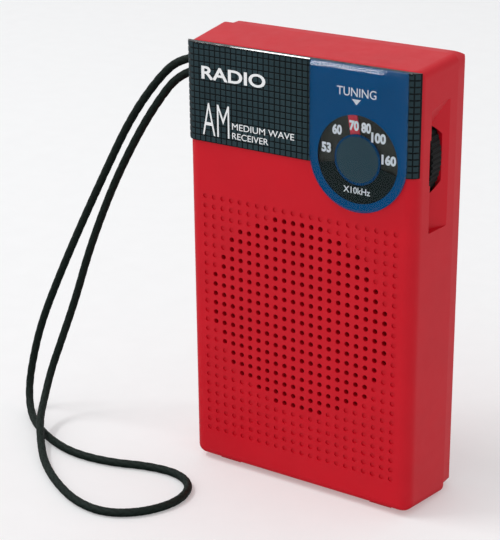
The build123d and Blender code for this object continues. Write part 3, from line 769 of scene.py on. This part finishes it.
@dataclass(frozen=True)
class Softbox:
    """A soft rectangular light that faces the radio.

    Fields:
        name: The light's name.
        place: Where it hangs, in metres.
        size: Its width and height, in metres.
        power: Its power in watts.
        target: The point that it faces, in metres.
    """

    name: str
    place: tuple[float, float, float]
    size: tuple[float, float]
    power: float
    target: tuple[float, float, float] = (0, 0, 0.05)

    def hang(self) -> None:
        """Make the light."""
        data = bpy.data.lights.new(self.name, "AREA")
        data.shape = "RECTANGLE"
        data.size, data.size_y = self.size
        data.energy = self.power
        aim = Vector(self.target) - Vector(self.place)
        turn = aim.to_track_quat("-Z", "Y").to_matrix().to_4x4()
        add_object(self.name, data).matrix_world = Matrix.Translation(self.place) @ turn


@dataclass
class Studio:
    """The camera, lights, white room and pale floor.

    Fields:
        azimuth: The camera's turn about the vertical, in degrees.
        elevation: How far the camera looks down, in degrees.
        roll: The camera's turn about its own line of sight, in degrees.
        place: The camera's place in millimetres.
        lens: The camera's focal length in millimetres.
        sensor: The camera's sensor width in millimetres.
        ambient: The strength of the room's light.
        room: The room's colour where it is dim and where it is bright.
        lean: The direction in which the room grows brighter.
        edge: How far along that direction it starts and ends growing brighter.
        floor_colour: The floor's colour.
        floor_half: Half the floor's width in millimetres.
        floor_glow: The strength of the floor's own light.
        softboxes: The soft lights.
    """

    azimuth: float = 33.51
    elevation: float = 21.48
    roll: float = -0.60
    place: tuple[float, float, float] = (193.16, -323.72, 202.75)
    lens: float = 110.67
    sensor: float = 36.0
    ambient: float = 0.64
    room: tuple[Colour, Colour] = ((0.05, 0.05, 0.055), (0.98, 0.99, 1.0))
    lean: tuple[float, float, float] = (0.0, 0.5, 2.0)
    edge: tuple[float, float] = (-1.05, -0.55)
    floor_colour: Colour = (0.66, 0.66, 0.665)
    floor_half: float = 4000.0
    floor_glow: float = 0.27
    softboxes: tuple[Softbox, ...] = (
        Softbox("key_light", (-0.50, -1.0, 1.2), (1.4, 1.4), 4.6),
        Softbox("top_light", (0.10, 0.55, 1.05), (1.3, 0.7), 0.9),
        Softbox("edge_light", (-0.65, -0.335, 1.19), (0.45, 0.12), 5.0),
    )

    def camera(self) -> None:
        """Make the camera and set it as the scene's."""
        data = bpy.data.cameras.new("camera")
        data.lens = self.lens
        data.sensor_width = self.sensor
        data.clip_start = 0.01
        turn = (
            Matrix.Rotation(math.radians(self.azimuth), 4, "Z")
            @ Matrix.Rotation(math.radians(90 - self.elevation), 4, "X")
            @ Matrix.Rotation(math.radians(self.roll), 4, "Z")
        )
        camera = add_object("camera", data)
        camera.matrix_world = Matrix.Translation(Vector(self.place) * MM) @ turn
        bpy.context.scene.camera = camera
        bpy.context.scene.view_settings.view_transform = "Standard"

    def surroundings(self) -> None:
        """Make an even white room that is dim low down, where the floor ends."""
        world = bpy.data.worlds.new("studio")
        world.use_nodes = True
        tree = world.node_tree
        back = tree.nodes["Background"]
        back.inputs["Strength"].default_value = self.ambient
        place = tree.nodes.new("ShaderNodeTexCoord")
        lean = tree.nodes.new("ShaderNodeVectorMath")
        lean.operation = "DOT_PRODUCT"
        lean.inputs[1].default_value = self.lean
        shift = tree.nodes.new("ShaderNodeMapRange")
        shift.inputs["From Min"].default_value, shift.inputs["From Max"].default_value = self.edge
        shade = tree.nodes.new("ShaderNodeValToRGB")
        for element, colour in zip(shade.color_ramp.elements, self.room):
            element.color = (*colour, 1.0)
        tree.links.new(place.outputs["Generated"], lean.inputs[0])
        tree.links.new(lean.outputs["Value"], shift.inputs["Value"])
        tree.links.new(shift.outputs["Result"], shade.inputs["Fac"])
        tree.links.new(shade.outputs["Color"], back.inputs["Color"])
        bpy.context.scene.world = world

    def light(self) -> None:
        """Light the white room and hang its soft lights."""
        self.surroundings()
        for softbox in self.softboxes:
            softbox.hang()

    def floor(self) -> None:
        """Lay the pale floor."""
        form = bmesh.new()
        bmesh.ops.create_grid(form, x_segments=1, y_segments=1, size=self.floor_half)
        floor = loose_mesh(form, "floor")
        material = Plastic(self.floor_colour, 0.75, 2.0, 0.01, 0.01, 0.1).build("floor_paper")
        glow = material.node_tree.nodes["Principled BSDF"].inputs
        glow["Emission Color"].default_value = (1.0, 1.0, 1.0, 1.0)
        glow["Emission Strength"].default_value = self.floor_glow
        floor.data.materials.append(material)
        floor.visible_glossy = False


@dataclass
class Strap:
    """The braided wrist strap, a loop that leaves the case's upper left side and comes back.

    Fields:
        route: The points that its middle line is drawn through, in millimetres.
        diameter: Its diameter.
        relief: How deep the plait's hollows are.
        plait: The length of one turn of a strand.
        strands: How many strands cross its outline each way.
        fullness: How square the strands are: below 1 they are broad with narrow hollows.
    """

    route: tuple[tuple[float, float, float], ...] = (
        (-31.9, -3.575, 104.2), (-38.4, -3.6, 103.2), (-45.6, -3.9, 96.6), (-53.8, -4.8, 85.4),
        (-61.8, -6.2, 69.8), (-69.4, -7.7, 54.4), (-76.2, -9.2, 39.6), (-82.0, -10.4, 26.0),
        (-85.2, -11.3, 14.6), (-86.2, -12.6, 6.0), (-82.8, -16.4, 1.1), (-75.4, -22.2, 1.1),
        (-67.4, -26.4, 1.1), (-57.6, -29.2, 1.1), (-46.6, -28.2, 1.1), (-36.6, -24.4, 1.1),
        (-27.6, -23.6, 1.1), (-21.2, -27.6, 1.1), (-19.6, -35.6, 1.1), (-23.8, -44.2, 1.1),
        (-31.4, -49.4, 1.1), (-40.8, -48.8, 1.1), (-51.2, -43.8, 1.1), (-60.8, -37.0, 1.1),
        (-67.6, -30.2, 2.4), (-73.0, -23.8, 4.8), (-76.6, -17.4, 7.2), (-77.4, -13.2, 13.4),
        (-74.6, -11.0, 23.0), (-70.6, -9.2, 35.0), (-66.6, -7.6, 48.8), (-60.2, -5.9, 65.2),
        (-53.6, -4.9, 78.2), (-46.8, -4.1, 89.4), (-38.4, -3.6, 99.8), (-31.9, -3.575, 101.2),
    )
    diameter: float = 2.1
    relief: float = 0.10
    plait: float = 3.4
    strands: int = 4
    fullness: float = 0.6

    def line(self) -> bpy.types.Object:
        """Draw the strap's middle line as one open smooth spline."""
        curve = bpy.data.curves.new("strap_line", "CURVE")
        curve.dimensions = "3D"
        curve.resolution_u = 42
        curve.twist_mode = "MINIMUM"
        spline = curve.splines.new("NURBS")
        spline.points.add(len(self.route) - 1)
        for point, place in zip(spline.points, self.route):
            point.co = (*(Vector(place) * MM), 1.0)
        spline.order_u = 3
        spline.use_endpoint_u = True
        return add_object("strap_line", curve)

    def plaited(
        self, mesh: bpy.types.Mesh, path: list[Vector], along: list[float]
    ) -> bpy.types.Mesh:
        """Raise the strands on a plain tube and close its ends.

        Args:
            mesh: The tube, whose vertices go ring by ring along the line.
            path: The line's points, one for each ring.
            along: How far along the line each ring is, in metres.

        Returns:
            A new mesh that keeps the plait's height in its "strand" attribute.
        """
        around = len(mesh.vertices) // len(path)
        form = bmesh.new()
        form.from_mesh(mesh)
        form.normal_update()
        layer = form.verts.layers.float.new("strand")
        for index, vertex in enumerate(form.verts):
            ring, place = divmod(index, around)
            height = self.height(2 * math.pi * place / around, along[ring] / MM)
            vertex[layer] = height
            vertex.co += (vertex.co - path[ring]).normalized() * height * self.relief * MM
        ends = [e for e in form.edges if e.is_boundary]
        bmesh.ops.holes_fill(form, edges=ends, sides=around + 1)
        bmesh.ops.recalc_face_normals(form, faces=form.faces)
        cord = bpy.data.meshes.new("wrist_cord")
        form.to_mesh(cord)
        form.free()
        return cord

    def build(self) -> bpy.types.Object:
        drawn = self.line()
        path = [v.co.copy() for v in evaluated_mesh(drawn).vertices]
        along = [0.0]
        for before, after in zip(path, path[1:]):
            along.append(along[-1] + (after - before).length)
        drawn.data.bevel_depth = (self.diameter / 2 - self.relief) * MM
        drawn.data.bevel_resolution = 8
        piece = add_object("wrist_cord", self.plaited(evaluated_mesh(drawn), path, along))
        bpy.data.objects.remove(drawn)
        finish_piece(piece, Braid().build("strap_plait"), Body.CASE, Shading.SMOOTH)
        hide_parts("wrist_strap")
        return piece

    def height(self, angle: float, along: float) -> float:
        """The plait's height at a place on the cord.

        Args:
            angle: The angle round the cord, in radians.
            along: The distance along the cord, in millimetres.

        Returns:
            The height, from 0 in the hollows to 1 on a strand.
        """
        turn = 2 * math.pi * along / self.plait
        left, right = (self.strands * angle + sign * turn for sign in (1, -1))
        over = math.sin(left / 2) * math.sin(right / 2) > 0
        return abs(math.cos(left / 2 if over else right / 2)) ** self.fullness


@dataclass
class FrontPanel:
    """The dark squared panel: raised cells on the frame's panel, wrapped round both edges.

    Fields:
        pitch: The distance from cell to cell.
        gap: The width of the grooves between cells.
        rise: How far the cells stand out.
        slope: The width of the slope round each cell's top.
        root: How far the cells' sides reach down from their rims.
        corner: The radius of the panel's rounded upright edges.
        flat_half: Half the width of the panel's flat part.
        wrap: How far round the edges the cells go, in degrees.
        window_gap: The gap between the cells and the window.
        bead_radius: The radius of the bead along the panel's top edge.
        bead_inset: How far inside that edge the bead's middle lies.
        bead_gap: The gap between the bead and the window.
        bead_past: How far the bead runs past the flat part on the right.
        ink: The cells' finish.
        gloss: The bead's finish.
        words: The words printed on the cells.
    """

    layout: Layout
    pitch: float = 1.5
    gap: float = 0.42
    rise: float = 0.06
    slope: float = 0.10
    root: float = 0.16
    corner: float = 3.35
    flat_half: float = 28.25
    wrap: float = 58.0
    window_gap: float = 0.12
    bead_radius: float = 0.34
    bead_inset: float = 0.1
    bead_gap: float = 0.13
    bead_past: float = 1.3
    ink: Plastic = Plastic((0.022, 0.044, 0.052), 0.50, 0.5, 0.006, 0.12, 0.12)
    gloss: Plastic = Plastic((0.004, 0.008, 0.010), 0.09, 0.6, 0.001, 0.1, 0.7)
    words: tuple[Words, ...] = (
        Words("RADIO", -26.3, -8.4, 101.5, 3.2, 0.022),
        Words("AM", -26.2, -18.6, 87.9, 7.9, -0.012),
        Words("MEDIUM WAVE", -17.8, -0.6, 90.3, 1.55),
        Words("RECEIVER", -17.8, -7.7, 88.0, 1.55),
    )

    def flat_cells(self) -> bmesh.types.BMesh:
        """Closed cells on a flat strip, with X along the strip, Y upwards and Z outwards."""
        form = bmesh.new()
        rows = round((self.layout.panel_top - self.layout.panel_bottom) / self.pitch)
        half = self.flat_half + self.corner * math.radians(self.wrap)
        columns = 2 * int(half / self.pitch)
        bmesh.ops.create_grid(form, x_segments=columns, y_segments=rows, size=0.5)
        bmesh.ops.scale(form, vec=(columns * self.pitch, rows * self.pitch, 1), verts=form.verts)
        cells = list(form.faces)
        rims = bmesh.ops.inset_individual(form, faces=cells, thickness=self.gap / 2)["faces"]
        bmesh.ops.delete(form, geom=rims, context="FACES")
        cells = list(form.faces)
        bmesh.ops.inset_individual(form, faces=cells, thickness=self.slope, depth=self.rise)
        edges = [e for e in form.edges if e.is_boundary]
        lowered = bmesh.ops.extrude_edge_only(form, edges=edges)["geom"]
        down = [item for item in lowered if isinstance(item, bmesh.types.BMVert)]
        bmesh.ops.translate(form, vec=(0, 0, -self.root), verts=down)
        open_edges = [e for e in form.edges if e.is_boundary]
        bmesh.ops.holes_fill(form, edges=open_edges, sides=4)
        middle = (self.layout.panel_top + self.layout.panel_bottom) / 2
        bmesh.ops.translate(form, vec=(0, middle, 0), verts=form.verts)
        return form

    def wrapped(self, form: bmesh.types.BMesh) -> None:
        """Lay the flat cells on the panel, round its upright edges."""
        for vertex in form.verts:
            along, up, out = vertex.co
            side = 1 if along > 0 else -1
            angle = max(0.0, abs(along) - self.flat_half) / self.corner
            outward = Vector((side * math.sin(angle), -math.cos(angle), 0))
            middle = Vector((min(self.flat_half, abs(along)) * side,
                             self.layout.panel_face + self.corner, up))
            vertex.co = middle + outward * (self.corner + out)

    def cut_opening(self, cells: bpy.types.Object) -> None:
        """Cut the window's opening out of the cells."""
        behind, before = self.layout.front + 1, self.layout.front - 3
        blank = self.layout.window_blank(self.window_gap, behind, before)
        cutter = loose_mesh(blank, "cutter")
        cut = cells.modifiers.new("window_opening", "BOOLEAN")
        cut.operation, cut.solver, cut.object = "DIFFERENCE", "EXACT", cutter
        mesh = evaluated_mesh(cells)
        cells.modifiers.clear()
        cells.data = mesh
        bpy.data.objects.remove(cutter)

    def build(self) -> None:
        """Make the cells, the bead and the words."""
        form = self.flat_cells()
        self.wrapped(form)
        bmesh.ops.recalc_face_normals(form, faces=form.faces)
        cells = loose_mesh(form, "panel_cells")
        self.cut_opening(cells)
        finish_piece(cells, self.ink.build("panel_cell_ink"), Body.CASE)
        self.top_bead()
        lettering = Lettering(Facing.FRONT, self.layout.panel_face - self.rise)
        for words in self.words:
            lettering.line(words)
        lettering.piece("panel_lettering", WHITE_INK.build("white_ink"), "panel_plastic")

    def top_bead(self) -> None:
        """Lay a slim glossy eight-sided bead on the panel's top edge, beside the window."""
        form = bmesh.new()
        sides = 8
        lie_along = Matrix.Rotation(math.pi / 2, 4, "Y") @ Matrix.Rotation(math.pi / sides, 4, "Z")
        level = self.layout.panel_face + self.bead_inset
        height = self.layout.panel_top - self.bead_inset
        spans = (
            (-self.flat_half, self.layout.window_left - self.bead_gap),
            (self.layout.window_right + self.bead_gap, self.flat_half + self.bead_past),
        )
        for start, end in spans:
            middle = Matrix.Translation(((start + end) / 2, level, height))
            bmesh.ops.create_cone(
                form, cap_ends=True, segments=sides, radius1=self.bead_radius,
                radius2=self.bead_radius, depth=end - start, matrix=middle @ lie_along,
            )
        bead = loose_mesh(form, "panel_top_bead")
        gloss = self.gloss.build("panel_gloss")
        finish_piece(bead, gloss, Body.CASE, Shading.EDGED)


@dataclass
class DialWindow:
    """The raised clear window over the dial, with the printing behind it.

    Fields:
        bevel: The width of the chamfer round its face.
        lift: How far its back stands in front of the dial plate.
        numbers: The dial's numbers, each with its place from the dial's middle.
        number_cap: The height of the numbers.
        digit_half: Half the width of a digit.
        number_weight: How much the numbers are thickened, as a share of their size.
        captions: The other words, placed from the dial's middle.
        arrow: The arrow's place from the dial's middle, its width and its height.
    """

    layout: Layout
    bevel: float = 0.8
    lift: float = 0.04
    numbers: tuple[tuple[str, float, float], ...] = (
        ("53", -8.1, 1.75), ("60", -5.3, 6.4), ("70", -0.9, 7.9),
        ("80", 2.2, 7.8), ("100", 5.4, 5.9), ("160", 8.1, 1.2),
    )
    number_cap: float = 2.4
    digit_half: float = 0.62
    number_weight: float = 0.05
    captions: tuple[Words, ...] = (
        Words("TUNING", -5.45, 4.65, 14.6, 2.0, 0.004),
        Words("X10kHz", -3.5, 3.5, -8.1, 1.55, 0.01),
    )
    arrow: tuple[float, float, float, float] = (-0.4, 12.7, 2.3, 1.3)

    def build(self) -> None:
        """Make the lens and its printing."""
        back, face_level = self.layout.mask_face - self.lift, self.layout.window_face
        form = self.layout.window_blank(0.0, back, face_level)
        front_edges = [
            e for e in form.edges if all(abs(v.co.y - face_level) < NEAR for v in e.verts)
        ]
        bmesh.ops.bevel(
            form, geom=front_edges, offset=self.bevel, offset_type="OFFSET", segments=1,
            profile=0.5, affect="EDGES", material=-1, clamp_overlap=True,
        )
        bmesh.ops.recalc_face_normals(form, faces=form.faces)
        lens = loose_mesh(form, "dial_lens")
        finish_piece(lens, Clear().build("blue_lens"), Body.CASE, Shading.EDGED)
        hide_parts("dial_window")
        self.printing()

    def printing(self) -> None:
        """Print the numbers, the words and the arrow in front of the dial plate."""
        ink_depth, sink = 0.03, 0.005
        lettering = Lettering(Facing.FRONT, self.layout.mask_face - sink, ink_depth)
        x, z = self.layout.dial_x, self.layout.dial_z
        for number, across, up in self.numbers:
            half = self.digit_half * len(number)
            lettering.line(Words(
                number, x + across - half, x + across + half, z + up - self.number_cap / 2,
                self.number_cap, self.number_weight,
            ))
        for words in self.captions:
            lettering.line(words.moved(x, z))
        across, up, width, height = self.arrow
        lettering.triangle(x + across, z + up, width, height)
        lettering.piece("dial_lettering", WHITE_INK.build("dial_ink"), "mask_print")


@dataclass
class RearLabel:
    """The words printed on the rear cover.

    Fields:
        ink: The ink's finish.
        sink: How far the words' feet reach into the cover.
        words: The words.
    """

    ink: Plastic = Plastic((0.55, 0.55, 0.56), 0.5, 0.3, 0.003, 0.03)
    sink: float = 0.01
    words: tuple[Words, ...] = (
        Words("AM POCKET RADIO", -14.0, 14.0, 92.0, 2.2, 0.01),
        Words("2 BATTERIES 3 V", -10.0, 10.0, 88.0, 1.6),
    )

    def build(self) -> None:
        """Make the words."""
        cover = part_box("rear_cover")[1].y / MM
        lettering = Lettering(Facing.BACK, cover - self.sink)
        for words in self.words:
            lettering.line(words)
        lettering.piece("rear_lettering", self.ink.build("grey_ink"), "red_shell")


@dataclass
class Interior:
    """The frame's own nodes, each dressed by its material slot."""

    layout: Layout

    def finishes(self) -> dict[str, Finish]:
        """The finish of every slot."""
        centre = Vector((self.layout.dial_x, 0, self.layout.dial_z)) * MM
        return {
            "red_shell": Plastic((0.59, 0.0038, 0.0148), 0.38, 0.30, 0.008, 0.03, 0.22),
            "panel_plastic": Plastic((0.003, 0.006, 0.007), 0.28, 0.4, 0.004, 0.1, 0.2),
            "blue_window": Clear(),
            "mask_print": DialPrint(centre),
            "black_wheel": Plastic((0.003, 0.0035, 0.0035), 0.5, 0.25, 0.02, 0.1, 0.12),
            "dial_brown": Plastic((0.040, 0.042, 0.032), 0.45, 0.4, 0.008, 0.1, 0.15),
            "pointer_red": Plastic((0.82, 0.026, 0.055), 0.4, 0.3, 0.004, 0.03),
            "steel": Metal((0.58, 0.57, 0.55), 0.28),
            "tinned_steel": Metal((0.66, 0.66, 0.64), 0.38, 0.3),
            "contact_metal": Metal((0.72, 0.70, 0.62), 0.25),
            "magnet_ferrite": Pulp((0.030, 0.030, 0.032), 0.3, 0.7),
            "cone_paper": Pulp((0.045, 0.042, 0.040), 0.8, 0.9),
            "grille_fabric": Woven((0.012, 0.011, 0.011)),
            "board_laminate": Laminate(),
            "can_metal": Metal((0.70, 0.70, 0.70), 0.3, 0.2),
            "core_ferrite": Pulp((0.035, 0.033, 0.032), 0.25, 0.75),
            "capacitor_plastic": Plastic((0.70, 0.68, 0.60), 0.35, 0.6, 0.01, 0.04),
            "sleeve_blue": Plastic((0.02, 0.06, 0.22), 0.32, 0.8, 0.004, 0.08),
            "ceramic_tan": Pulp((0.42, 0.22, 0.09), 0.4, 0.5),
            "resistor_tan": Plastic((0.50, 0.36, 0.20), 0.5, 0.4, 0.01, 0.25),
            "transistor_black": Plastic((0.014, 0.014, 0.015), 0.55, 0.3, 0.015, 0.12),
            "copper_wire": Metal((0.72, 0.32, 0.14), 0.3, 0.1),
            "winding_tape": Woven((0.50, 0.42, 0.12), 0.6, 0.02),
            "holder_plastic": Plastic((0.55, 0.53, 0.48), 0.5, 0.4, 0.012, 0.05),
            "cell_jacket": Jacket(),
            "lead_plastic": Plastic((0.35, 0.02, 0.02), 0.4, 0.5, 0.01, 0.1),
            "strap_braid": Braid(),
            "volume_plastic": Plastic((0.60, 0.57, 0.50), 0.45, 0.5, 0.012, 0.05),
        }

    def build(self) -> None:
        """Dress every node of the frame that still shows."""
        made: dict[str, bpy.types.Material] = {}
        finishes = self.finishes()
        for name, node in sorted(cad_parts.items()):
            slot = node.data.materials[0].name.split(".")[0]
            if slot not in made:
                made[slot] = finishes[slot].build(f"{slot}_finish")
            node.data.materials.clear()
            node.data.materials.append(made[slot])
            LOG.info("frame node %s wears %s", name, slot)


def main() -> None:
    """Build the radio and its studio, in order."""
    logging.basicConfig(level=logging.INFO, format="%(name)s %(message)s")
    studio = Studio()
    studio.camera()
    Strap().build()
    layout = Layout()
    FrontPanel(layout).build()
    DialWindow(layout).build()
    RearLabel().build()
    Interior(layout).build()
    studio.light()
    studio.floor()


if __name__ == "__main__":
    main()
